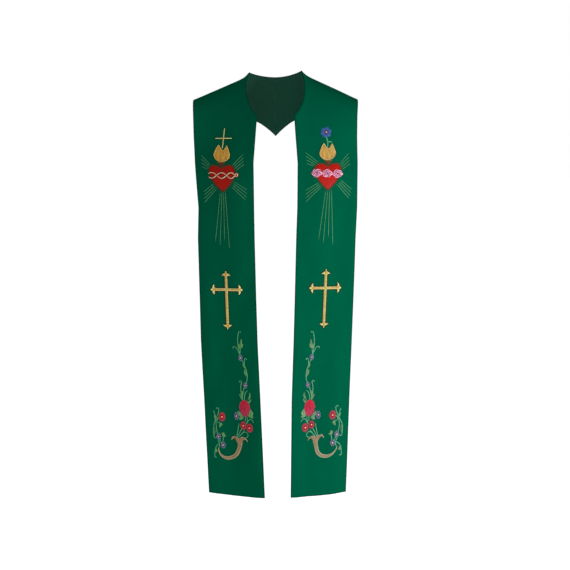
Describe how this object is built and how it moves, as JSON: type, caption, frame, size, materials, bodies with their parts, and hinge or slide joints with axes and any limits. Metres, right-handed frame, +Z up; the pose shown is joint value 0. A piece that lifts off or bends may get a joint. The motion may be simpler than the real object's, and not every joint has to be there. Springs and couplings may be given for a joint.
{
  "type": "clerical stole",
  "caption": "Green clerical stole as worn: wide straight bands over the shoulders, joined at the nape, with embroidered hearts, crosses and flowers.",
  "frame": {"origin": "2 mm below the middle between the two points where the neck edge lies on the wearer's shoulders", "axes": "+Z up along the wearer's body, +X to the wearer's left, the front faces -Y"},
  "size_m": [0.4472, 0.2444, 1.1553],
  "materials": {
    "green_cloth": "smooth matt vestment cloth, interlined",
    "gold_thread": "satin-stitched embroidery thread, soft sheen",
    "red_thread": "satin-stitched embroidery thread, soft sheen",
    "rose_thread": "satin-stitched embroidery thread, soft sheen",
    "blue_thread": "satin-stitched embroidery thread, soft sheen",
    "pink_thread": "satin-stitched embroidery thread, soft sheen",
    "bronze_thread": "satin-stitched embroidery thread, soft sheen",
    "cream_thread": "satin-stitched embroidery thread, soft sheen"
  },
  "bodies": {
    "root": {"half_left": "green_cloth", "heart_left": "red_thread", "flame_left": "gold_thread", "crown_left": "pink_thread", "crest_left": "blue_thread", "cross_left": "gold_thread", "horn_left": "bronze_thread", "rose_left": "rose_thread", "flower_red_upper_left": "red_thread", "flower_red_middle_left": "red_thread", "flower_red_inner_left": "red_thread", "flower_blue_vine_left": "blue_thread", "flower_blue_side_left": "blue_thread", "flower_blue_outer_left": "blue_thread", "flower_blue_low_left": "blue_thread", "half_right": "green_cloth", "heart_right": "red_thread", "flame_right": "gold_thread", "crown_right": "cream_thread", "crest_right": "gold_thread", "cross_right": "gold_thread", "horn_right": "bronze_thread", "rose_right": "rose_thread", "flower_red_upper_right": "red_thread", "flower_red_middle_right": "red_thread", "flower_red_inner_right": "red_thread", "flower_blue_vine_right": "blue_thread", "flower_blue_side_right": "blue_thread", "flower_blue_outer_right": "blue_thread", "flower_blue_low_right": "blue_thread"}
  },
  "joints": []
}
